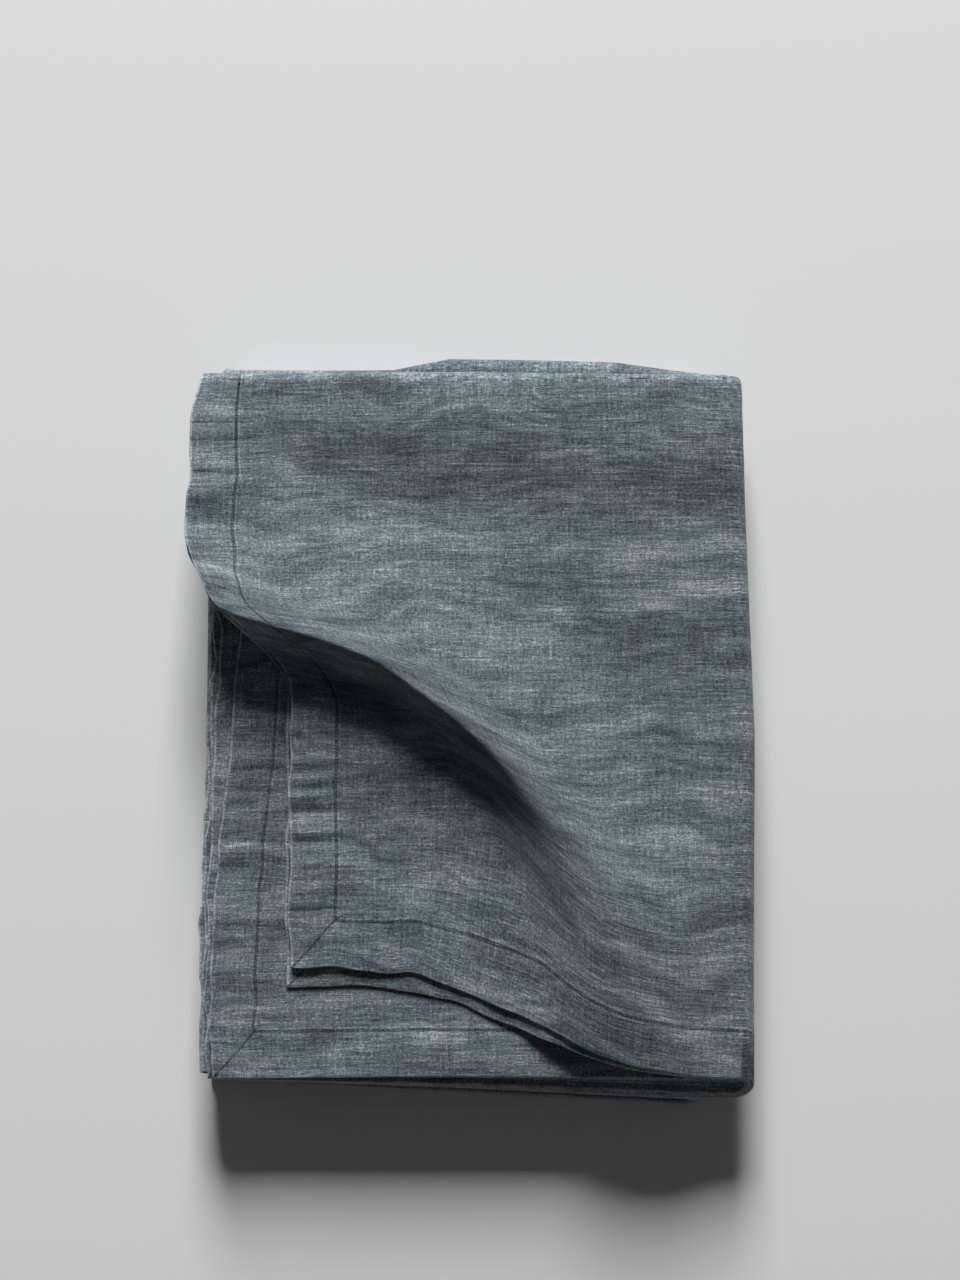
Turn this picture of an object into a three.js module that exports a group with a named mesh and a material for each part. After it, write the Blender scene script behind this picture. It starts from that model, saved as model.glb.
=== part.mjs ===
// A folded tablecloth: one rectangular sheet of washed linen, folded into a pile of thirty-two plies.
//
// The sheet is bent on the computer in the order in which a person folds it. It is halved across its
// width and across its length, halved across its width again, and then laid back and forth in four
// runs. The four corners of the cloth meet at the pile's near left corner, so that corner shows open
// hemmed edges, and the far side and the right side show folds. The top two plies have been nudged:
// their corner lies further in, and the spare cloth stands up as a soft diagonal ridge.
//
// Millimetres, +X right, +Y away from the viewer, +Z up. The origin is the centre of the pile's
// bounding box, on the surface that the pile lies on.
import * as THREE from 'three';

// The cloth, flat
const CLOTH_LENGTH = 2400;
const CLOTH_WIDTH = 1600;
const THICKNESS = 1.0;
const PLY_GAP = 0.4;

// Where the folds lie, measured from the free left edge and the free near edge of the top ply
const FAR_FOLD = 397;
const RIGHT_FOLD_UPPER = 313;
const LEFT_FOLD = 19;
const RIGHT_FOLD_LOWER = 286;

// How the plies have slid out of line, by ply counted from the top. Each turn is clockwise from above.
const SLIDES = [
  { ply: 0, turnDeg: 0.0, nearOut: 0, farOut: 0 },
  { ply: 2, turnDeg: 0.0, nearOut: 0, farOut: 0 },
  { ply: 16, turnDeg: 0.8, nearOut: 12, farOut: 3 },
  { ply: 32, turnDeg: 1.2, nearOut: 20, farOut: 0 },
];

// The share of the slide at the near side that its left end makes
const NEAR_SLIDE_AT_LEFT = 0.45;

// How far in the hemmed left edges of the upper plies lie, at the near corner and further back
const LEFT_EDGES = [
  { ply: 2, nearIn: 12, backIn: 28 },
  { ply: 3, nearIn: 9, backIn: 16 },
  { ply: 4, nearIn: 8, backIn: 13 },
  { ply: 5, nearIn: 6, backIn: 11 },
  { ply: 6, nearIn: 9, backIn: 15 },
  { ply: 7, nearIn: 7, backIn: 12 },
];
const LEFT_EDGE_TURNS_IN = { from: 60, to: 260 };
const LEFT_EDGE_ENDS = { from: 330, to: FAR_FOLD };

// The right side leans in by this much over the far half of the pile
const RIGHT_LEAN = 10;

// The nudge of the top two plies. Their corner moves by this much, and the ridge runs between the two
// points, given on the cloth as it lay before the nudge.
const NUDGED_PLIES = 2;
const NUDGE = new THREE.Vector2(57, 63);
const RIDGE_START = new THREE.Vector2(0, 242);
const RIDGE_END = new THREE.Vector2(313, 2);
const GATHER_CENTRE = 18;
const GATHER_HALF_WIDTH = 68;
const GATHER_FADES = { from: 165, to: 400 };

// The crest bows away from the nudged corner, and turns towards the right side at its end
const CREST_BOW = 34;
const BOW_GROWS = { from: -30, to: 100 };
const BOW_ENDS = { from: 130, to: 370 };
const CREST_TAIL = 30;
const TAIL_TURNS = { from: 300, to: 385 };

// The ridge's height and the widths of its two sides, by distance along it
const RIDGE_HEIGHT = 31;
const RIDGE_END_HEIGHT = 21;
const RIDGE_SINKS = { from: 60, to: 240 };
const RIDGE_BACK_WIDTH = 130;
const RIDGE_FRONT_WIDTH = 66;
const RIDGE_FRONT_END_WIDTH = 125;
const RIDGE_FRONT_WIDENS = { from: 110, to: 320 };
const RIDGE_FADES = { from: 270, to: 430 };
const RIDGE_ENDS = { from: 270, to: 312 };

// How finely the sheet is divided
const TOP_RUN_STEPS = 10;
const TOP_DEPTH_STEPS = 12;
const PLAIN_STEPS = 2;
const FOLD_STEPS = 4;
const INNER_FOLD_STEPS = 3;

const COLOUR = 0x5f6e78;
const ROUGHNESS = 0.95;

const smoothStep = THREE.MathUtils.smoothstep;

// A fold lays the cloth back and forth. Its turns are the places of its bends, right and left by
// turns, and half is half the thickness of what is being folded.
function makeFold(direction, half, turns) {
  return { direction, half, turns, bendRadius: half + PLY_GAP / 2 };
}

function bendLength(half) {
  return Math.PI * (half + PLY_GAP / 2);
}

// Half the thickness of the pile once it has been folded
function foldedHalf(fold) {
  return (fold.turns.length + 1) * fold.half + fold.turns.length * (PLY_GAP / 2);
}

// The folds in the order in which they are made
function makeFolds() {
  const sheetHalf = THICKNESS / 2;
  const acrossWidth = makeFold('y', sheetHalf, [(CLOTH_WIDTH - bendLength(sheetHalf)) / 2]);
  const doubleHalf = foldedHalf(acrossWidth);
  const acrossLength = makeFold('x', doubleHalf, [(CLOTH_LENGTH - bendLength(doubleHalf)) / 2]);
  const widthAgain = makeFold('y', foldedHalf(acrossLength), [FAR_FOLD]);
  const runs = makeFold('x', foldedHalf(widthAgain), [RIGHT_FOLD_UPPER, LEFT_FOLD, RIGHT_FOLD_LOWER]);
  return [acrossWidth, acrossLength, widthAgain, runs];
}

// Where a point of the stack goes when it is folded back and forth: how far along it lies and how high.
// The heights of the result are measured from the middle of the folded stack.
function layBackAndForth(fold, along, height) {
  const radius = fold.bendRadius;
  let place = 0;
  let heading = 1;
  let level = radius * fold.turns.length;
  let left = along;
  for (const turn of fold.turns) {
    const run = Math.abs(turn - place);
    if (left <= run) break;
    left -= run;
    const bend = radius + heading * height;
    const angle = left / radius;
    if (angle < Math.PI) {
      return [turn + heading * bend * Math.sin(angle), level - radius + bend * Math.cos(angle)];
    }
    left -= Math.PI * radius;
    place = turn;
    level -= 2 * radius;
    heading = -heading;
  }
  return [place + heading * left, level + heading * height];
}

function evenSteps(from, to, count) {
  return Array.from({ length: count }, (_, i) => from + ((to - from) * i) / count);
}

// The lines that divide the sheet in one direction, from its first edge to its middle bend
function halfDivisions(middleFold, laterFold, topSteps) {
  const lines = [];
  let start = 0;
  let place = 0;
  let steps = topSteps;
  for (const turn of laterFold.turns) {
    const bendStart = start + Math.abs(turn - place);
    const bendEnd = bendStart + Math.PI * laterFold.bendRadius;
    lines.push(...evenSteps(start, bendStart, steps), ...evenSteps(bendStart, bendEnd, FOLD_STEPS));
    start = bendEnd;
    place = turn;
    steps = PLAIN_STEPS;
  }
  lines.push(...evenSteps(start, middleFold.turns[0], PLAIN_STEPS));
  return lines;
}

// All the lines in one direction. The second half of the sheet lies under the first, mirrored.
function divisions(size, middleFold, laterFold, topSteps, underSteps) {
  const bend = middleFold.turns[0];
  const mirrored = halfDivisions(middleFold, laterFold, underSteps).map((line) => size - line);
  return [
    ...halfDivisions(middleFold, laterFold, topSteps),
    ...evenSteps(bend, size - bend, INNER_FOLD_STEPS),
    size - bend,
    ...mirrored.reverse(),
  ];
}

// How far the plies have slid at a depth in the pile, between the rows of the table
function slideAt(ply, column) {
  const after = Math.max(SLIDES.findIndex((row) => row.ply >= ply), 1);
  const low = SLIDES[after - 1];
  const high = SLIDES[after];
  return THREE.MathUtils.mapLinear(ply, low.ply, high.ply, low[column], high[column]);
}

// How much of a change that runs over a span has been made at a place
function made(span, place) {
  return smoothStep(place, span.from, span.to);
}

// How far in a ply's left edge lies
function leftEdgeInset(ply, y) {
  const edge = LEFT_EDGES.find((row) => row.ply === Math.floor(ply));
  if (!edge) return 0;
  return THREE.MathUtils.lerp(edge.nearIn, edge.backIn, made(LEFT_EDGE_TURNS_IN, y)) * (1 - made(LEFT_EDGE_ENDS, y));
}

function acrossRidge(x, y) {
  const along = RIDGE_END.clone().sub(RIDGE_START).normalize();
  const from = new THREE.Vector2(x, y).sub(RIDGE_START);
  return { along: from.dot(along), across: along.cross(from) * -1 };
}

// A ramp from 0 to 1 that is straight in the middle and eased at its ends, so that the gathered cloth
// never doubles back on itself
function easedRamp(value, halfWidth) {
  const share = THREE.MathUtils.clamp((value + halfWidth) / (2 * halfWidth), 0, 1);
  return 0.6 * share + 0.4 * smoothStep(share, 0, 1);
}

// The nudge of the top plies: their shift in plan, and the ridge that the spare cloth stands up in
function nudge(x, y) {
  const { along, across } = acrossRidge(x, y);
  const bow = CREST_BOW * made(BOW_GROWS, along) * (1 - made(BOW_ENDS, along)) + CREST_TAIL * made(TAIL_TURNS, along);
  const offset = across + bow;
  const shift = easedRamp(offset - GATHER_CENTRE, GATHER_HALF_WIDTH) * (1 - made(GATHER_FADES, along));
  const height = THREE.MathUtils.lerp(RIDGE_HEIGHT, RIDGE_END_HEIGHT, made(RIDGE_SINKS, along));
  const frontWidth = THREE.MathUtils.lerp(RIDGE_FRONT_WIDTH, RIDGE_FRONT_END_WIDTH, made(RIDGE_FRONT_WIDENS, along));
  const share = Math.min(Math.abs(offset) / (offset < 0 ? RIDGE_BACK_WIDTH : frontWidth), 1);
  const profile = 1 - smoothStep(share, 0, 1);
  const fade = (1 - made(RIDGE_FADES, along)) * (1 - made(RIDGE_ENDS, x));
  return { x: NUDGE.x * shift, y: NUDGE.y * shift, z: height * profile * fade };
}

// How the lie of the pile departs from a perfect one: the slid plies, the leaning side and the nudge
function settle(x, y, z, pileTop) {
  const ply = (pileTop - z) / (THICKNESS + PLY_GAP);
  const rightward = THREE.MathUtils.clamp(x / RIGHT_FOLD_UPPER, 0, 1);
  const backward = THREE.MathUtils.clamp(y / FAR_FOLD, 0, 1);
  const point = new THREE.Vector3(x, y, z);

  point.x += leftEdgeInset(ply, y) * (1 - rightward);
  point.x -= RIGHT_LEAN * rightward * Math.max(2 * backward - 1, 0);
  const nearShare = THREE.MathUtils.lerp(NEAR_SLIDE_AT_LEFT, 1, rightward);
  point.y += slideAt(ply, 'farOut') * backward - slideAt(ply, 'nearOut') * nearShare * (1 - backward);

  const turn = THREE.MathUtils.degToRad(slideAt(ply, 'turnDeg'));
  const centre = new THREE.Vector3(RIGHT_FOLD_UPPER / 2, FAR_FOLD / 2, z);
  point.sub(centre).applyAxisAngle(new THREE.Vector3(0, 0, -1), turn).add(centre);

  if (ply < NUDGED_PLIES - PLY_GAP / 2) {
    const moved = nudge(x, y);
    point.add(new THREE.Vector3(moved.x, moved.y, moved.z));
  }
  return point;
}

// The whole way of one point of the sheet, from flat to folded
function foldPoint(folds, pileTop, alongLength, alongWidth, side) {
  const flat = { x: alongLength, y: alongWidth };
  let height = side * (THICKNESS / 2);
  for (const fold of folds) {
    [flat[fold.direction], height] = layBackAndForth(fold, flat[fold.direction], height);
  }
  return settle(flat.x, flat.y, height, pileTop);
}

function makeClothGeometry() {
  const folds = makeFolds();
  const [acrossWidth, acrossLength, widthAgain, runs] = folds;
  const pileTop = foldedHalf(runs);
  const columns = divisions(CLOTH_LENGTH, acrossLength, runs, TOP_RUN_STEPS, PLAIN_STEPS);
  const rows = divisions(CLOTH_WIDTH, acrossWidth, widthAgain, TOP_DEPTH_STEPS, TOP_DEPTH_STEPS);
  const sides = [1, -1];

  const points = [];
  for (const side of sides) {
    for (const along of columns) {
      for (const across of rows) points.push(foldPoint(folds, pileTop, along, across, side));
    }
  }

  const perSide = columns.length * rows.length;
  const at = (side, i, j) => (side === 1 ? 0 : perSide) + i * rows.length + j;
  const faces = [];
  // A four-sided face as two triangles
  const addQuad = (a, b, c, d) => faces.push(a, b, c, a, c, d);

  // Each cell is split along the diagonal that runs as the ridge does, so that plies never cross
  for (let i = 0; i < columns.length - 1; i++) {
    for (let j = 0; j < rows.length - 1; j++) {
      const corners = [[i, j], [i + 1, j], [i + 1, j + 1], [i, j + 1]];
      const diagonal = points[at(1, i + 1, j + 1)].clone().sub(points[at(1, i, j)]);
      if (diagonal.x * diagonal.y > 0) corners.push(corners.shift());
      addQuad(...corners.map(([m, n]) => at(1, m, n)));
      addQuad(...corners.map(([m, n]) => at(-1, m, n)).reverse().map((_, k, list) => list[(k + 3) % 4]));
    }
  }
  const lastColumn = columns.length - 1;
  const lastRow = rows.length - 1;
  for (let i = 0; i < lastColumn; i++) {
    addQuad(at(1, i, 0), at(-1, i, 0), at(-1, i + 1, 0), at(1, i + 1, 0));
    addQuad(at(1, i + 1, lastRow), at(-1, i + 1, lastRow), at(-1, i, lastRow), at(1, i, lastRow));
  }
  for (let j = 0; j < lastRow; j++) {
    addQuad(at(1, 0, j + 1), at(-1, 0, j + 1), at(-1, 0, j), at(1, 0, j));
    addQuad(at(1, lastColumn, j), at(-1, lastColumn, j), at(-1, lastColumn, j + 1), at(1, lastColumn, j + 1));
  }

  const geometry = new THREE.BufferGeometry().setFromPoints(points);
  geometry.setIndex(faces);
  geometry.computeBoundingBox();
  const { min, max } = geometry.boundingBox;
  geometry.translate(-(min.x + max.x) / 2, -(min.y + max.y) / 2, -min.z);
  geometry.computeVertexNormals();
  return geometry;
}

function makeCloth() {
  const linen = new THREE.MeshStandardMaterial({ color: COLOUR, roughness: ROUGHNESS, metalness: 0 });
  const cloth = new THREE.Mesh(makeClothGeometry(), linen);
  cloth.name = 'cloth';
  return cloth;
}

const tablecloth = new THREE.Group();
tablecloth.add(makeCloth());

export default tablecloth;
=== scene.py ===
"""A folded tablecloth of washed linen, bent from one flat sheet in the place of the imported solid."""

import math

import bpy
import numpy as np
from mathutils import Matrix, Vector
from mathutils.geometry import delaunay_2d_cdt


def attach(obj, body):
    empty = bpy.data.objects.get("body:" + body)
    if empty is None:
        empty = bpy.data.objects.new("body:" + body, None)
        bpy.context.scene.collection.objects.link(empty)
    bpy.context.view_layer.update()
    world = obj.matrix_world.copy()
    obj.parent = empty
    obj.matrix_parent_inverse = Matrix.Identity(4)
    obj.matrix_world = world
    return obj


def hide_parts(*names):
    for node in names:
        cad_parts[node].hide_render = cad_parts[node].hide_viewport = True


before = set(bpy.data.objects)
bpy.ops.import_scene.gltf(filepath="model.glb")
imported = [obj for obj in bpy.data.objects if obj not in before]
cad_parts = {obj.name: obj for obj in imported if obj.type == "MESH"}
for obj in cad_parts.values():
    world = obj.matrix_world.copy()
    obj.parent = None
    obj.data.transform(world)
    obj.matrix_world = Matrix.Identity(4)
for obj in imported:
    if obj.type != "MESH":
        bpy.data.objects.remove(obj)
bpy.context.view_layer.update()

# Sizes here are in millimetres, as in the part's source. Only finished points are turned into metres.
MM = 0.001

# The cloth, flat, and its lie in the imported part
CLOTH_LENGTH = 2400.0
CLOTH_WIDTH = 1600.0
PLY_HALF = 0.5
PLY_GAP = 0.4
PLY_PITCH = 2 * PLY_HALF + PLY_GAP

# Where the folds lie, measured from the free left edge and the free near edge of the top ply
FAR_FOLD = 397.0
RIGHT_FOLD_UPPER = 313.0
LEFT_FOLD = 19.0
RIGHT_FOLD_LOWER = 286.0

# How the plies have slid out of line, by ply counted from the top
SLIDE_PLIES = (0, 2, 16, 32)
SLIDE_TURNS = (0.0, 0.0, 0.8, 1.2)
SLIDE_NEAR = (0.0, 0.0, 12.0, 20.0)
SLIDE_FAR = (0.0, 0.0, 3.0, 0.0)
NEAR_SLIDE_AT_LEFT = 0.45

# How far in the hemmed left edges of the upper plies lie: ply, at the near corner, further back
LEFT_EDGES = (
    (2, 12.0, 28.0),
    (3, 9.0, 16.0),
    (4, 8.0, 13.0),
    (5, 6.0, 11.0),
    (6, 9.0, 15.0),
    (7, 7.0, 12.0),
)
LEFT_EDGE_TURNS_IN = (60.0, 260.0)
LEFT_EDGE_ENDS = (330.0, FAR_FOLD)
RIGHT_LEAN = 10.0

# The nudge of the top two plies, and the ridge that the spare cloth stands up in
NUDGED_PLIES = 1.8
NUDGE = (57.0, 63.0)
RIDGE_START = (0.0, 242.0)
RIDGE_END = (313.0, 2.0)
GATHER_CENTRE = 18.0
GATHER_HALF_WIDTH = 68.0
GATHER_FADES = (165.0, 400.0)
CREST_BOW = 34.0
BOW_GROWS = (-30.0, 100.0)
BOW_ENDS = (130.0, 370.0)
CREST_TAIL = 30.0
TAIL_TURNS = (300.0, 385.0)
RIDGE_HEIGHT = 31.0
RIDGE_END_HEIGHT = 21.0
RIDGE_SINKS = (60.0, 240.0)
RIDGE_BACK_WIDTH = 130.0
RIDGE_FRONT_WIDTH = 66.0
RIDGE_FRONT_END_WIDTH = 125.0
RIDGE_FRONT_WIDENS = (110.0, 320.0)
RIDGE_FADES = (270.0, 430.0)
RIDGE_ENDS = (270.0, 312.0)

# How the second ply follows the first
SECOND_SHARE = 0.97
SECOND_LIFT = 0.93
SECOND_HEM_LAG = 7.0

# The middle of the folded pile, measured as the folds are. The part's source puts it at the origin.
MIDDLE_X = 161.993
MIDDLE_Y = 192.885

# The linen and its hems
CLOTH_HALF = 0.3
HEM_WIDTH = 28.0
HEM_PROUD = 0.33
HEM_BULGE = 0.35
STITCH_IN = 1.6
STITCH_DEPTH = 0.42
STITCH_WIDTH = 1.0

# Crinkles of the plies that show: height, spacing along the weft, spacing across it
WEFT_CRINKLE = (0.17, 60.0, 7.5)
FINE_CRINKLE = (0.09, 30.0, 4.2)
WARP_CRINKLE = (0.05, 9.0, 60.0)
MITRE_DEPTH = 0.3

# How far from its corner the third ply begins to show, and shows in full
THIRD_PLY_SHOWS = (250.0, 230.0)

# Puckers across the hems, coarse and fine: height, spacing
SIDE_PUCKERS = ((2.3, 10.0), (1.1, 5.2))
END_PUCKERS = ((1.0, 13.0), (0.5, 6.0))
THIRD_PLY_PUCKERS = 0.42

# The loose top plies: a swell, a gaping and wavy near edge, and an arch where the ridge runs out
SWELL_HEIGHT = 0.9
GAPE = 0.9
SCALLOP = 1.8
ARCH_HEIGHT = 5.0
ARCH_RISES = (165.0, 225.0)
ARCH_ENDS = (255.0, 312.0)
ARCH_DEPTH = 85.0

# The unevenness of the whole pile
SIDE_WAVE = 1.7
SIDE_WAVE_SPACING = 15.0
PILE_WAVE = 1.6
PILE_WAVE_SPACING = 150.0
PILE_SWELL = 0.02
CORNER_ROUND = 6.0
FAR_PUFF = 0.10
FAR_HUMP = 7.0
FAR_HUMP_SIDES = (110.0, 150.0, 262.0, 284.0)

# Rows of the noise lattices that the uses of one noise read, so that they differ
SIDE_ROW, FINE_SIDE_ROW = 3.0, 40.0
END_ROW, FINE_END_ROW = 9.0, 50.0
GAPE_ROW = 71.0
SCALLOP_ROW, HEM_LAG_ROW = 33.0, 61.0
SIDE_WAVE_ROWS = 5.0

# How close the points of the sheet lie where it is hidden
HIDDEN_STEP = 32.0


def smooth_step(value, low, high):
    share = np.clip((value - low) / (high - low), 0.0, 1.0)
    return share * share * (3.0 - 2.0 * share)


class Noise:
    """Smooth noise between -1 and 1 on a seeded lattice that repeats after a long way."""

    SIZE = 256

    def __init__(self, seed):
        self.table = np.random.default_rng(seed).uniform(-1.0, 1.0, (self.SIZE, self.SIZE))

    def __call__(self, x, y=0.0):
        x, y = np.broadcast_arrays(np.asarray(x, float), np.asarray(y, float))
        i, j = np.floor(x).astype(int), np.floor(y).astype(int)
        fx, fy = x - i, y - j
        fx, fy = fx * fx * (3 - 2 * fx), fy * fy * (3 - 2 * fy)
        near = self.pick(i, j) * (1 - fx) + self.pick(i + 1, j) * fx
        far = self.pick(i, j + 1) * (1 - fx) + self.pick(i + 1, j + 1) * fx
        return near * (1 - fy) + far * fy

    def pick(self, i, j):
        return self.table[i % self.SIZE, j % self.SIZE]


crinkle_noise = Noise(11)
fine_noise = Noise(12)
swell_noise = Noise(13)
hem_noise = Noise(14)
edge_noise = Noise(15)
pile_noise = Noise(16)


def folded_half(half, turns):
    return (len(turns) + 1) * half + len(turns) * PLY_GAP / 2


def make_folds():
    """The folds in the order they are made: direction, half of what is folded, places of the bends."""
    half = PLY_HALF
    folds = []
    for direction, turns in (
        ("y", [(CLOTH_WIDTH - math.pi * (PLY_HALF + PLY_GAP / 2)) / 2]),
        ("x", None),
        ("y", [FAR_FOLD]),
        ("x", [RIGHT_FOLD_UPPER, LEFT_FOLD, RIGHT_FOLD_LOWER]),
    ):
        if turns is None:
            turns = [(CLOTH_LENGTH - math.pi * (half + PLY_GAP / 2)) / 2]
        folds.append((direction, half, turns))
        half = folded_half(half, turns)
    return folds, half


FOLDS, PILE_TOP = make_folds()


def lay_back_and_forth(half, turns, along, height):
    """Where points of the stack go when it is folded: how far along they lie and how high."""
    radius = half + PLY_GAP / 2
    place, heading, level = 0.0, 1, radius * len(turns)
    left = along.copy()
    out_along = np.zeros_like(along)
    out_height = np.zeros_like(along)
    waiting = np.ones(along.shape, bool)
    for turn in turns:
        run = abs(turn - place)
        flat = waiting & (left <= run)
        out_along[flat] = place + heading * left[flat]
        out_height[flat] = level + heading * height[flat]
        waiting &= ~flat
        left[waiting] -= run
        bent = waiting & (left < math.pi * radius)
        angle = left[bent] / radius
        reach = radius + heading * height[bent]
        out_along[bent] = turn + heading * reach * np.sin(angle)
        out_height[bent] = level - radius + reach * np.cos(angle)
        waiting &= ~bent
        left[waiting] -= math.pi * radius
        place, level, heading = turn, level - 2 * radius, -heading
    out_along[waiting] = place + heading * left[waiting]
    out_height[waiting] = level + heading * height[waiting]
    return out_along, out_height


def fold_points(u, v, height):
    place = {"x": u, "y": v}
    for direction, half, turns in FOLDS:
        place[direction], height = lay_back_and_forth(half, turns, place[direction], height)
    return place["x"], place["y"], height


def nudge(x, y):
    """The shift of the top plies in plan, and the height of the ridge."""
    run = np.subtract(RIDGE_END, RIDGE_START)
    run = run / np.linalg.norm(run)
    from_x, from_y = x - RIDGE_START[0], y - RIDGE_START[1]
    along = from_x * run[0] + from_y * run[1]
    across = from_x * run[1] - from_y * run[0]
    offset = across + CREST_BOW * smooth_step(along, *BOW_GROWS) * (1 - smooth_step(along, *BOW_ENDS))
    offset += CREST_TAIL * smooth_step(along, *TAIL_TURNS)
    share = np.clip((offset - GATHER_CENTRE + GATHER_HALF_WIDTH) / (2 * GATHER_HALF_WIDTH), 0.0, 1.0)
    shift = (0.6 * share + 0.4 * smooth_step(share, 0.0, 1.0)) * (1 - smooth_step(along, *GATHER_FADES))
    height = RIDGE_HEIGHT + (RIDGE_END_HEIGHT - RIDGE_HEIGHT) * smooth_step(along, *RIDGE_SINKS)
    widening = smooth_step(along, *RIDGE_FRONT_WIDENS)
    front_width = RIDGE_FRONT_WIDTH + (RIDGE_FRONT_END_WIDTH - RIDGE_FRONT_WIDTH) * widening
    width = np.where(offset < 0, RIDGE_BACK_WIDTH, front_width)
    profile = 1 - smooth_step(np.abs(offset) / width, 0.0, 1.0)
    fade = (1 - smooth_step(along, *RIDGE_FADES)) * (1 - smooth_step(x, *RIDGE_ENDS))
    return shift, height * profile * fade


def settle(x, y, z, ply):
    """How the pile departs from a perfect one: the slid plies, the leaning side and the nudge."""
    rightward = np.clip(x / RIGHT_FOLD_UPPER, 0.0, 1.0)
    backward = np.clip(y / FAR_FOLD, 0.0, 1.0)
    new_x, new_y, new_z = x.copy(), y.copy(), z.copy()

    inset = np.zeros_like(x)
    for number, near_in, back_in in LEFT_EDGES:
        here = np.floor(ply) == number
        back = smooth_step(y[here], *LEFT_EDGE_TURNS_IN)
        inset[here] = near_in + (back_in - near_in) * back
    new_x += inset * (1 - smooth_step(y, *LEFT_EDGE_ENDS)) * (1 - rightward)
    new_x -= RIGHT_LEAN * rightward * np.maximum(2 * backward - 1, 0)
    far_out = np.interp(ply, SLIDE_PLIES, SLIDE_FAR)
    near_out = np.interp(ply, SLIDE_PLIES, SLIDE_NEAR)
    near_share = NEAR_SLIDE_AT_LEFT + (1 - NEAR_SLIDE_AT_LEFT) * rightward
    new_y += far_out * backward - near_out * near_share * (1 - backward)

    turn = np.radians(np.interp(ply, SLIDE_PLIES, SLIDE_TURNS))
    from_x, from_y = new_x - RIGHT_FOLD_UPPER / 2, new_y - FAR_FOLD / 2
    new_x = RIGHT_FOLD_UPPER / 2 + from_x * np.cos(turn) + from_y * np.sin(turn)
    new_y = FAR_FOLD / 2 - from_x * np.sin(turn) + from_y * np.cos(turn)

    top = ply < NUDGED_PLIES
    shift, lift = nudge(x[top], y[top])
    # The second ply lags a little behind the first, and its hem shows below it
    second = ply[top] > 1.0
    hem_lag = SECOND_HEM_LAG * np.minimum(shift * 1.6, 1.0) * (1 - smooth_step(y[top], 15.0, 130.0))
    hem_lag *= 1.0 + 0.35 * edge_noise(x[top] / 22.0, HEM_LAG_ROW)
    new_x[top] += NUDGE[0] * shift * np.where(second, SECOND_SHARE, 1.0)
    new_y[top] += NUDGE[1] * shift * np.where(second, SECOND_SHARE, 1.0) - np.where(second, hem_lag, 0.0)
    new_z[top] += lift * np.where(second, SECOND_LIFT, 1.0)
    return new_x, new_y, new_z


def hem_depth(u, v):
    """How far a point lies in from the nearest edge of the cloth."""
    return np.minimum(np.minimum(u, CLOTH_LENGTH - u), np.minimum(v, CLOTH_WIDTH - v))


def make_camera():
    """A camera that looks straight down, as in the photograph."""
    over_x, over_y = 165.6, 250.1
    top_level = PILE_TOP * 2
    camera_height = 1800.0
    field_height = 731.0
    data = bpy.data.cameras.new("camera")
    data.sensor_width = 36.0
    data.lens = 36.0 * (camera_height - top_level) / field_height
    camera = bpy.data.objects.new("camera", data)
    camera.location = Vector((over_x - MIDDLE_X, over_y - MIDDLE_Y, camera_height)) * MM
    bpy.context.scene.collection.objects.link(camera)
    bpy.context.scene.camera = camera


make_camera()


def even(low, high, step):
    count = max(int(round((high - low) / step)), 1)
    return np.linspace(low, high, count + 1)


def structure_lines(size, middle_turn, later_half, later_turns, bend_steps):
    """The lines that the bends of the sheet need, from edge to edge, and which of them lie in bends."""
    lines, bends = [], []
    start, place = 0.0, 0.0
    for turn in later_turns:
        bend_start = start + abs(turn - place)
        bend_end = bend_start + math.pi * (later_half + PLY_GAP / 2)
        lines.append(even(start, bend_start, HIDDEN_STEP)[:-1])
        bends.append(np.linspace(bend_start, bend_end, bend_steps + 1))
        start, place = bend_end, turn
    lines.append(even(start, middle_turn, HIDDEN_STEP)[:-1])
    middle = np.linspace(middle_turn, size - middle_turn, 5)
    half_lines = np.concatenate(lines)
    half_bends = np.concatenate(bends)
    every = np.concatenate([half_lines, size - half_lines, half_bends, size - half_bends, middle])
    bent = np.concatenate([half_bends, size - half_bends, middle])
    return np.unique(np.round(every, 6)), np.unique(np.round(bent, 6))


def patch(u_low, u_high, u_step, v_low, v_high, v_step):
    """A grid of points inside a rectangle of the flat sheet."""
    u, v = np.meshgrid(even(u_low, u_high, u_step), even(v_low, v_high, v_step), indexing="ij")
    return np.column_stack([u.ravel(), v.ravel()])


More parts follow.
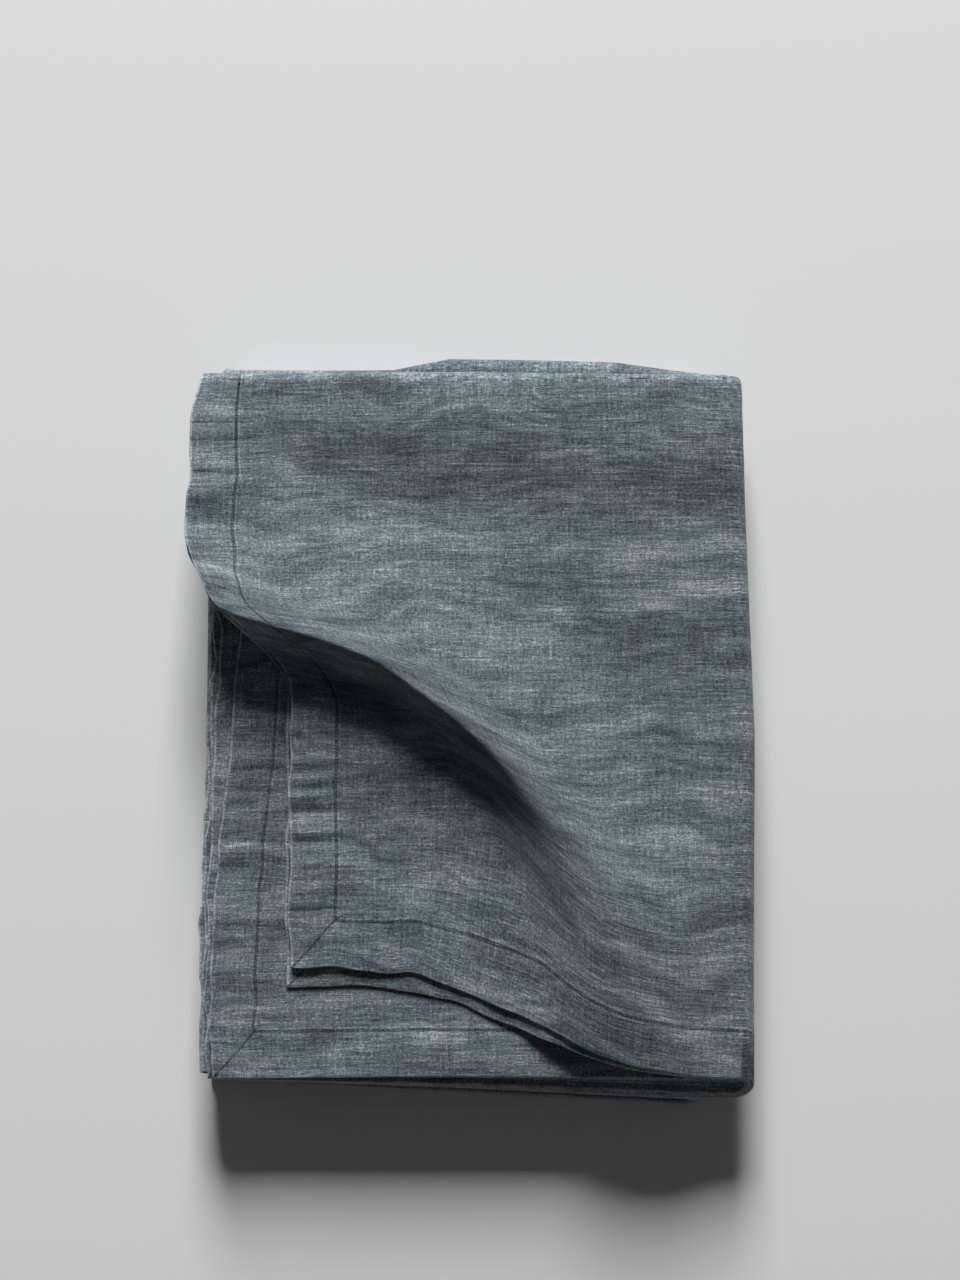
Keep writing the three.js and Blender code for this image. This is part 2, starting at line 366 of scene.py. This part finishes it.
def sheet_points():
    """The points of the flat sheet, close where it shows or is sewn, and the lines its faces keep to."""
    (_, _, y1_turns), (_, _, x1_turns), (_, y2_half, y2_turns), (_, x2_half, x2_turns) = FOLDS
    columns, bent_columns = structure_lines(CLOTH_LENGTH, x1_turns[0], x2_half, x2_turns, 12)
    rows, bent_rows = structure_lines(CLOTH_WIDTH, y1_turns[0], y2_half, y2_turns, 8)
    grid = np.array([(u, v) for u in columns for v in rows])
    far = FAR_FOLD
    hem = HEM_WIDTH
    length = CLOTH_LENGTH
    width = CLOTH_WIDTH
    near_right = 312.0
    rim = 3.0
    off_seam = 4.0
    third = THIRD_PLY_SHOWS[0]
    third_side, third_end = 270.0, 290.0
    second_back = 320.0
    seam = (0.0, 1.2, hem - 2.6, hem - STITCH_IN, hem - 0.7, hem, hem + 0.6)
    # Each patch: from, to and step along the cloth's length, then across it
    patches = [
        # The top ply: its body, its left hem, its near hem and their corner
        patch(hem, 330.0, 4.2, hem, far + 8.0, 2.3),
        patch(rim, hem - off_seam, 2.6, hem, far, 2.0),
        patch(hem, near_right, 2.2, rim, hem - off_seam, 2.6),
        patch(rim, hem, 2.4, rim, hem, 2.4),
        # The third ply, whose corner shows
        patch(length - third, length - hem, 4.2, width - third, width - hem, 2.6),
        patch(length - hem + off_seam, length - rim, 3.0, width - third_side, width - hem, 2.4),
        patch(length - third_end, length - hem, 2.6, width - hem + off_seam, width - rim, 3.0),
        patch(length - hem, length - rim, 2.6, width - hem, width - rim, 2.6),
        # The second ply, under the ridge
        patch(2.0, near_right, 9.0, width - far, width - 2.0, 9.0),
        patch(0.0, 30.0, 7.0, width - second_back, width, 3.5),
        patch(0.0, near_right, 3.5, width - 30.0, width, 7.0),
    ]
    # Lines of points along the sewn edges that show, with the seam's own section across them
    for line in seam:
        for u_edge, inward in ((0.0, 1), (CLOTH_LENGTH, -1)):
            u = u_edge + inward * line
            patches.append(patch(u, u, 1.0, 0.0, far + 8.0, 4.0))
            patches.append(patch(u, u, 1.0, CLOTH_WIDTH - far - 8.0, CLOTH_WIDTH, 4.0))
            patches.append(patch(u, u, 1.0, far + 8.0, CLOTH_WIDTH - far - 8.0, 10.0))
        for v_edge, inward in ((0.0, 1), (CLOTH_WIDTH, -1)):
            v = v_edge + inward * line
            patches.append(patch(0.0, RIGHT_FOLD_UPPER, 4.0, v, v, 1.0))
            patches.append(patch(CLOTH_LENGTH - RIGHT_FOLD_UPPER, CLOTH_LENGTH, 4.0, v, v, 1.0))
    fine = np.concatenate(patches)
    points = np.concatenate([grid, fine])
    keep_u = np.concatenate([bent_columns, [0.0, CLOTH_LENGTH]])
    keep_v = np.concatenate([bent_rows, [0.0, CLOTH_WIDTH]])
    return points, keep_u, keep_v


def triangulate(points, keep_u, keep_v):
    """Triangles over the flat sheet. No edge crosses a line that a bend needs."""
    points = np.unique(np.round(points, 3), axis=0)
    vectors = [Vector(p) for p in points]
    edges = []
    for line in keep_u:
        on_line = np.flatnonzero(np.abs(points[:, 0] - line) < 2e-3)
        on_line = on_line[np.argsort(points[on_line, 1])]
        edges += list(zip(on_line[:-1].tolist(), on_line[1:].tolist()))
    for line in keep_v:
        on_line = np.flatnonzero(np.abs(points[:, 1] - line) < 2e-3)
        on_line = on_line[np.argsort(points[on_line, 0])]
        edges += list(zip(on_line[:-1].tolist(), on_line[1:].tolist()))
    made, _, faces, *_ = delaunay_2d_cdt(vectors, edges, [], 0, 1e-4)
    flat = np.array([tuple(p) for p in made])
    triangles = np.array([tuple(f) for f in faces])
    corners = flat[triangles]
    cross = np.cross(corners[:, 1] - corners[:, 0], corners[:, 2] - corners[:, 0])
    triangles = triangles[np.abs(cross) > 1e-6]
    cross = cross[np.abs(cross) > 1e-6]
    triangles[cross < 0] = triangles[cross < 0][:, ::-1]
    return flat, triangles


def crinkles(noise, u, v, shape, shift=0.0):
    height, spacing_u, spacing_v = shape
    return height * noise(u / spacing_u + shift, v / spacing_v)


def surface_heights(u, v):
    """The heights of the sewn side and the plain side of the cloth over its middle surface."""
    depth = hem_depth(u, v)
    crinkle = crinkles(crinkle_noise, u, v, WEFT_CRINKLE) + crinkles(fine_noise, u, v, FINE_CRINKLE)
    crinkle += crinkles(fine_noise, u, v, WARP_CRINKLE, shift=31.0)
    starts, full = THIRD_PLY_SHOWS
    top = (1 - smooth_step(u, 318.0, 335.0)) * (1 - smooth_step(v, 396.0, 402.0))
    third = smooth_step(u, CLOTH_LENGTH - starts, CLOTH_LENGTH - full)
    third *= smooth_step(v, CLOTH_WIDTH - starts, CLOTH_WIDTH - full)
    crinkle *= np.maximum(top, third)
    proud = HEM_PROUD * (1 - smooth_step(depth, HEM_WIDTH - 0.2, HEM_WIDTH + 0.6))
    stitch = STITCH_DEPTH * np.exp(-(((depth - (HEM_WIDTH - STITCH_IN)) / STITCH_WIDTH) ** 2))
    along_u = np.minimum(u, CLOTH_LENGTH - u)
    along_v = np.minimum(v, CLOTH_WIDTH - v)
    in_corner = (along_u < HEM_WIDTH) & (along_v < HEM_WIDTH)
    mitre = np.where(in_corner, MITRE_DEPTH * np.exp(-((along_u - along_v) ** 2)), 0.0)
    sewn = CLOTH_HALF + proud - stitch - mitre + crinkle
    plain = -(CLOTH_HALF - 0.6 * stitch) + crinkle
    return sewn, plain


def puckers(along, row, fine_row, sizes):
    """Puckers that stand up across a hem: coarse ones that differ from ply to ply, and fine ones."""
    (coarse, coarse_spacing), (fine, fine_spacing) = sizes
    coarse_part = coarse * np.abs(hem_noise(along / coarse_spacing, row))
    return coarse_part + fine * np.abs(hem_noise(along / fine_spacing, fine_row))


def loosen(x, y, z, u, v, ply):
    """The small unevenness of real cloth: puckered hems, lifted edges and a pile that isn't square."""
    top = ply < 1.0
    third = (ply >= 2.0) & (ply < 3.0)
    side_depth = np.minimum(u, CLOTH_LENGTH - u)
    end_depth = np.minimum(v, CLOTH_WIDTH - v)
    side_hem = 1 - smooth_step(side_depth, 12.0, 46.0)
    end_hem = 1 - smooth_step(end_depth, 12.0, 40.0)
    back = 1 - smooth_step(y, 340.0, 385.0)
    right = 1 - smooth_step(x, 250.0, 300.0)

    # The hems have shrunk along their stitches, and pucker across
    number = np.floor(ply)
    side_pucker = puckers(y, SIDE_ROW + number, FINE_SIDE_ROW, SIDE_PUCKERS)
    end_pucker = puckers(x, END_ROW + number, FINE_END_ROW, END_PUCKERS)
    side_share = side_hem * (1 - smooth_step(y, 372.0, 392.0))
    top_pucker = side_pucker * side_share * (1 - 0.6 * end_hem) + 0.5 * end_pucker * end_hem * right
    z = z + np.where(top, top_pucker, 0.0)
    low_side = side_pucker * (1 - smooth_step(side_depth, 14.0, 27.0))
    low_end = end_pucker * (1 - smooth_step(end_depth, 14.0, 27.0))
    z = z + np.where(third, THIRD_PLY_PUCKERS * (low_side + 1.5 * low_end) * back * right, 0.0)

    # The nudged plies don't lie flat, and the near edge of the first gapes here and there
    swell = SWELL_HEIGHT * (1.0 + swell_noise(x / 70.0, y / 38.0)) * back * right
    z = z + np.where(top, swell * (1 - end_hem), 0.0)
    gape = GAPE * np.maximum(hem_noise(u / 24.0, GAPE_ROW), 0.0) * (1 - smooth_step(v, 4.0, 34.0)) * right
    z = z + np.where(top, gape, 0.0)
    scallop = SCALLOP * edge_noise(x / 16.0, SCALLOP_ROW) * (1 - smooth_step(v, 0.0, 60.0)) * right
    y = y + np.where(top, scallop, 0.0)

    # Both arch up from the pile where the ridge runs out at the near edge
    arch = smooth_step(x, *ARCH_RISES) * (1 - smooth_step(x, *ARCH_ENDS))
    arch = ARCH_HEIGHT * arch * (1 - smooth_step(end_depth, 0.0, ARCH_DEPTH))
    z = z + np.where(ply < NUDGED_PLIES, arch, 0.0)

    # The upper plies' left edges wave, and the far left corner is rounded
    side_wave = SIDE_WAVE * edge_noise(y / SIDE_WAVE_SPACING, number * SIDE_WAVE_ROWS)
    side_wave *= 1 - smooth_step(x, 20.0, 120.0)
    x = x + np.where(ply < 8.0, side_wave * back, 0.0)
    x = x + CORNER_ROUND * smooth_step(y, 376.0, 406.0) * (1 - smooth_step(x, 0.0, 40.0))

    # The second quarter of the pile stands out at the far side
    low, high, leaves, gone = FAR_HUMP_SIDES
    second_quarter = smooth_step(ply, 7.6, 8.4) * (1 - smooth_step(ply, 15.4, 16.4))
    hump = FAR_HUMP * smooth_step(x, low, high) * (1 - smooth_step(x, leaves, gone))
    y = y + second_quarter * hump * smooth_step(y, 320.0, 395.0)

    # The pile's sides and top aren't quite flat, and it is puffed along the far fold
    x = x + PILE_WAVE * pile_noise(y / PILE_WAVE_SPACING, z / 30.0)
    y = y + PILE_WAVE * pile_noise(x / PILE_WAVE_SPACING + 90.0, z / 30.0)
    rise = 1.0 + PILE_SWELL * pile_noise(x / PILE_WAVE_SPACING + 40.0, y / PILE_WAVE_SPACING)
    rise += FAR_PUFF * smooth_step(y, 322.0, 372.0) * (1 - smooth_step(y, 374.0, 420.0))
    z = -PILE_TOP + (z + PILE_TOP) * rise
    return x, y, z


def place(u, v, height, ply):
    x, y, z = fold_points(u, v, height)
    x, y, z = settle(x, y, z, ply)
    x, y, z = loosen(x, y, z, u, v, ply)
    return np.column_stack([x - MIDDLE_X, y - MIDDLE_Y, z + PILE_TOP])


def boundary_loop(triangles):
    """The vertices round the sheet's edge, in order."""
    directed = np.concatenate([triangles[:, [0, 1]], triangles[:, [1, 2]], triangles[:, [2, 0]]])
    seen = {tuple(edge) for edge in directed.tolist()}
    follows = {a: b for a, b in seen if (b, a) not in seen}
    first = next(iter(follows))
    loop = [first]
    while follows[loop[-1]] != first:
        loop.append(follows[loop[-1]])
    return np.array(loop)


def bulge_out(along, size):
    """How far the folded edge of the hem bulges out past either end of the cloth."""
    at_edge = 1e-3
    return np.where(along < at_edge, -HEM_BULGE, np.where(along > size - at_edge, HEM_BULGE, 0.0))


def make_cloth_mesh():
    flat, triangles = triangulate(*sheet_points())
    u, v = flat[:, 0], flat[:, 1]
    count = len(flat)
    _, _, level = fold_points(u, v, np.zeros(count))
    ply = (PILE_TOP - level) / PLY_PITCH
    sewn, plain = surface_heights(u, v)
    sewn_points = place(u, v, sewn, ply)
    plain_points = place(u, v, plain, ply)

    loop = boundary_loop(triangles)
    # The hem's folded edge bulges out a little between its two sides
    rim_u = u[loop] + bulge_out(u[loop], CLOTH_LENGTH)
    rim_v = v[loop] + bulge_out(v[loop], CLOTH_WIDTH)
    rim_points = (sewn_points[loop] + plain_points[loop]) / 2
    middle = (sewn + plain)[loop] / 2
    outward = rim_points - place(2 * u[loop] - rim_u, 2 * v[loop] - rim_v, middle, ply[loop])
    rim_points = rim_points + outward

    points = np.concatenate([sewn_points, plain_points, rim_points]) * MM
    after = np.roll(np.arange(len(loop)), -1)
    rim = 2 * count + np.arange(len(loop))
    quads = np.concatenate([
        np.column_stack([loop[after], loop, rim, rim[after]]),
        np.column_stack([rim[after], rim, loop + count, loop[after] + count]),
    ])
    faces = triangles.tolist() + (triangles[:, ::-1] + count).tolist() + quads.tolist()
    mesh = bpy.data.meshes.new("tablecloth")
    mesh.from_pydata(points.tolist(), [], faces)
    mesh.shade_smooth()
    flat_place = np.zeros((len(points), 3))
    flat_place[:count, :2] = flat
    flat_place[count:2 * count, :2] = flat
    flat_place[2 * count:, :2] = flat[loop]
    attribute = mesh.attributes.new("cloth_place", "FLOAT_VECTOR", "POINT")
    attribute.data.foreach_set("vector", (flat_place * MM).ravel())
    mesh.update()
    return mesh


class Graph:
    """Short calls for the nodes of one material."""

    def __init__(self, name):
        self.material = bpy.data.materials.new(name)
        self.material.use_nodes = True
        self.tree = self.material.node_tree
        self.shader = self.tree.nodes["Principled BSDF"]

    def link(self, value, socket):
        if isinstance(value, bpy.types.NodeSocket):
            self.tree.links.new(value, socket)
        else:
            socket.default_value = value

    def math(self, operation, a, b=0.0, c=0.0, clamp=False):
        node = self.tree.nodes.new("ShaderNodeMath")
        node.operation = operation
        node.use_clamp = clamp
        for value, socket in zip((a, b, c), node.inputs):
            self.link(value, socket)
        return node.outputs[0]

    def stretch(self, vector, factors, offset=(0.0, 0.0, 0.0)):
        node = self.tree.nodes.new("ShaderNodeVectorMath")
        node.operation = "MULTIPLY_ADD"
        self.link(vector, node.inputs[0])
        node.inputs[1].default_value = factors
        node.inputs[2].default_value = offset
        return node.outputs[0]

    def noise(self, vector, detail=1.0, roughness=0.5):
        node = self.tree.nodes.new("ShaderNodeTexNoise")
        self.link(vector, node.inputs["Vector"])
        node.inputs["Scale"].default_value = 1.0
        node.inputs["Detail"].default_value = detail
        node.inputs["Roughness"].default_value = roughness
        return node.outputs["Fac"]

    def blotches(self, vector, length_u, length_v, layer, detail=1.0, roughness=0.5):
        """Noise with blotches of this length along the cloth and across it. Each layer differs."""
        sized = self.stretch(vector, (1 / length_u, 1 / length_v, 1.0), (0.0, 0.0, layer))
        return self.noise(sized, detail, roughness)

    def split(self, vector):
        node = self.tree.nodes.new("ShaderNodeSeparateXYZ")
        self.link(vector, node.inputs[0])
        return node.outputs

    def join(self, x, y, z=0.0):
        node = self.tree.nodes.new("ShaderNodeCombineXYZ")
        for value, socket in zip((x, y, z), node.inputs):
            self.link(value, socket)
        return node.outputs[0]

    def step(self, value, low, high, from_value=0.0, to_value=1.0):
        node = self.tree.nodes.new("ShaderNodeMapRange")
        node.interpolation_type = "SMOOTHSTEP"
        self.link(value, node.inputs["Value"])
        ends = {"From Min": low, "From Max": high, "To Min": from_value, "To Max": to_value}
        for name, number in ends.items():
            node.inputs[name].default_value = number
        return node.outputs["Result"]

    def weighted(self, *terms):
        """The sum of each value less a half, times its weight."""
        total = 0.0
        for value, weight in terms:
            share = self.math("MULTIPLY", self.math("SUBTRACT", value, 0.5), weight)
            total = self.math("ADD", total, share)
        return total

    def ramp(self, value, stops):
        node = self.tree.nodes.new("ShaderNodeValToRGB")
        self.link(value, node.inputs[0])
        elements = node.color_ramp.elements
        while len(elements) < len(stops):
            elements.new(0.5)
        for element, (position, colour) in zip(elements, stops):
            element.position = position
            element.color = (*colour, 1.0)
        return node.outputs[0]

    def mix(self, share, a, b):
        node = self.tree.nodes.new("ShaderNodeMix")
        node.data_type = "FLOAT"
        self.link(share, node.inputs[0])
        self.link(a, node.inputs[2])
        self.link(b, node.inputs[3])
        return node.outputs[0]


# One thread's width, and the tones of the linen from its darkest threads to its palest
THREAD = 0.62
LINEN_TONES = (
    (0.0, (0.020, 0.030, 0.037)),
    (0.30, (0.068, 0.090, 0.102)),
    (0.5, (0.122, 0.155, 0.171)),
    (0.72, (0.205, 0.247, 0.264)),
    (1.0, (0.44, 0.48, 0.495)),
)


def make_linen():
    """Washed plain-weave linen: slubbed weft threads over a finer warp, faded hems with painted highlights
    along their folded and raised edges, and a stitched seam with painted shade in its groove.
    """
    graph = Graph("washed_linen")
    attribute = graph.tree.nodes.new("ShaderNodeAttribute")
    attribute.attribute_name = "cloth_place"
    place = graph.stretch(attribute.outputs["Vector"], (1000.0, 1000.0, 1000.0))
    wander = graph.noise(graph.stretch(place, (1 / 9.0, 1 / 9.0, 1.0), (5.0, 2.0, 7.0)), 2.0)
    u, v, _ = graph.split(place)
    warp_at = graph.math("DIVIDE", graph.math("ADD", u, graph.math("MULTIPLY", wander, 1.6)), THREAD)
    weft_at = graph.math("DIVIDE", graph.math("ADD", v, graph.math("MULTIPLY", wander, -1.3)), THREAD)
    warp_number = graph.math("FLOOR", warp_at)
    weft_number = graph.math("FLOOR", weft_at)

    # Each thread has a tone of its own that drifts slowly along it
    along_weft = graph.math("MULTIPLY", u, 1 / 6.0)
    along_warp = graph.math("MULTIPLY", v, 1 / 5.0)
    weft_tone = graph.noise(graph.join(along_weft, graph.math("MULTIPLY", weft_number, 3.7), 1.0), 1.0)
    warp_tone = graph.noise(graph.join(graph.math("MULTIPLY", warp_number, 3.3), along_warp, 4.0), 1.0)
    over = graph.math("PINGPONG", graph.math("ADD", warp_number, weft_number), 1.0)
    thread_tone = graph.mix(over, weft_tone, warp_tone)

    # Slubs, streaks and bands along the weft, the last two drifting out of line, and blotches
    drift = graph.blotches(place, 75.0, 60.0, 37.0)
    drifted = graph.join(u, graph.math("MULTIPLY_ADD", drift, 42.0, v))
    slub = graph.blotches(place, 20.0, 1.4, 11.0, 2.0, 0.6)
    grain = graph.blotches(place, 1.7, 0.9, 13.0)
    streak = graph.blotches(drifted, 48.0, 5.0, 17.0, 2.0, 0.6)
    band = graph.blotches(drifted, 110.0, 21.0, 23.0, 2.0)
    warp_streak = graph.blotches(place, 1.6, 38.0, 29.0, 2.0)
    mottle = graph.blotches(place, 22.0, 16.0, 31.0, 3.0)

    # The seam: how far in from the cloth's edge, and how far along it
    from_side = graph.math("MINIMUM", u, graph.math("SUBTRACT", CLOTH_LENGTH, u))
    from_end = graph.math("MINIMUM", v, graph.math("SUBTRACT", CLOTH_WIDTH, v))
    depth = graph.math("MINIMUM", from_side, from_end)
    on_side = graph.math("LESS_THAN", from_side, from_end)
    run = graph.mix(on_side, u, v)
    # Painted highlight along the folded edge of the cloth, which is also worn pale there
    edge = graph.step(depth, 0.3, 1.3, 1.0, 0.0)
    seam_off = graph.math("ABSOLUTE", graph.math("SUBTRACT", depth, HEM_WIDTH - STITCH_IN))
    dash = graph.step(graph.math("PINGPONG", run, 1.5), 0.25, 0.5)
    stitch = graph.math("MULTIPLY", graph.step(seam_off, 0.2, 0.45, 1.0, 0.0), dash)
    # Painted shade along the groove of the seam
    painted_seam_shade = graph.step(seam_off, 0.35, 1.35, 1.0, 0.0)
    # Painted highlight along the raised inner edge of the hem
    lip_off = graph.math("ABSOLUTE", graph.math("SUBTRACT", depth, HEM_WIDTH))
    painted_lip_highlight = graph.step(lip_off, 0.2, 0.8, 1.0, 0.0)
    crossing = graph.math("ABSOLUTE", graph.math("SUBTRACT", from_side, from_end))
    in_hem = graph.math("LESS_THAN", depth, HEM_WIDTH)
    mitre = graph.math("MULTIPLY", graph.step(crossing, 0.3, 1.2, 1.0, 0.0), in_hem)

    tone = graph.weighted(
        (thread_tone, 1.0),
        (grain, 1.05),
        (slub, 0.55),
        (streak, 0.62),
        (band, 0.85),
        (warp_streak, 0.38),
        (mottle, 0.45),
    )
    # The folded edge is worn pale and has a painted highlight, painted shade darkens the seam's groove, a
    # painted highlight lies along the hem's raised inner edge, and the mitres are dark lines
    marks = ((edge, 0.30), (painted_seam_shade, -0.36), (painted_lip_highlight, 0.10), (mitre, -0.36), (stitch, 0.14), (in_hem, 0.03))
    for mask, weight in marks:
        tone = graph.math("ADD", tone, graph.math("MULTIPLY", mask, weight))
    tone = graph.math("ADD", tone, 0.5, clamp=True)
    colour = graph.ramp(tone, LINEN_TONES)
    graph.link(colour, graph.shader.inputs["Base Color"])

    # Relief: the round of the threads, slubs, and creases finer than the mesh
    weft_round = graph.math("ABSOLUTE", graph.math("SINE", graph.math("MULTIPLY", weft_at, math.pi)))
    warp_round = graph.math("ABSOLUTE", graph.math("SINE", graph.math("MULTIPLY", warp_at, math.pi)))
    threads = graph.mix(over, weft_round, warp_round)
    crease = graph.blotches(place, 34.0, 2.6, 41.0, 3.0, 0.6)
    cross_crease = graph.blotches(place, 2.4, 30.0, 43.0, 2.0)
    height = graph.weighted(
        (threads, 0.12),
        (slub, 0.30),
        (grain, 0.10),
        (crease, 0.62),
        (cross_crease, 0.22),
    )
    height = graph.math("ADD", height, graph.math("MULTIPLY", stitch, 0.08))
    bump = graph.tree.nodes.new("ShaderNodeBump")
    bump.inputs["Distance"].default_value = MM
    bump.inputs["Strength"].default_value = 1.0
    graph.link(height, bump.inputs["Height"])
    graph.link(bump.outputs["Normal"], graph.shader.inputs["Normal"])

    graph.link(graph.step(tone, 0.2, 0.9, 0.97, 0.86), graph.shader.inputs["Roughness"])
    graph.shader.inputs["Specular IOR Level"].default_value = 0.25
    graph.shader.inputs["Sheen Weight"].default_value = 0.15
    graph.shader.inputs["Sheen Roughness"].default_value = 0.5
    return graph.material


def make_tablecloth():
    cloth = bpy.data.objects.new("tablecloth", make_cloth_mesh())
    bpy.context.scene.collection.objects.link(cloth)
    cloth.data.materials.append(make_linen())
    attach(cloth, "root")
    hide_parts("cloth")


def make_floor():
    mesh = bpy.data.meshes.new("floor")
    reach = 4.0
    corners = [(-reach, -reach, 0), (reach, -reach, 0), (reach, reach, 0), (-reach, reach, 0)]
    mesh.from_pydata(corners, [], [(0, 1, 2, 3)])
    floor = bpy.data.objects.new("floor", mesh)
    bpy.context.scene.collection.objects.link(floor)
    paint = bpy.data.materials.new("pale_floor")
    paint.use_nodes = True
    shader = paint.node_tree.nodes["Principled BSDF"]
    shader.inputs["Base Color"].default_value = (0.72, 0.72, 0.72, 1.0)
    shader.inputs["Roughness"].default_value = 0.9
    floor.data.materials.append(paint)


def add_area_light(name, place, target, width, height, power):
    data = bpy.data.lights.new(name, "AREA")
    data.shape = "RECTANGLE"
    data.size = width
    data.size_y = height
    data.energy = power
    light = bpy.data.objects.new(name, data)
    light.location = place
    light.rotation_euler = (Vector(target) - Vector(place)).to_track_quat("-Z", "Y").to_euler()
    bpy.context.scene.collection.objects.link(light)


def light_the_scene():
    scene = bpy.context.scene
    scene.view_settings.view_transform = "Standard"
    world = bpy.data.worlds.new("studio")
    world.use_nodes = True
    world.node_tree.nodes["Background"].inputs["Color"].default_value = (1.0, 0.97, 0.98, 1.0)
    world.node_tree.nodes["Background"].inputs["Strength"].default_value = 0.062
    scene.world = world
    # One large window beyond the far side, low enough to throw a long soft shadow
    add_area_light(
        "window",
        place=(-0.2, 7.2, 3.5),
        target=(0.0, 0.0, 0.0),
        width=2.4,
        height=2.9,
        power=1190.0,
    )


make_tablecloth()
make_floor()
light_the_scene()
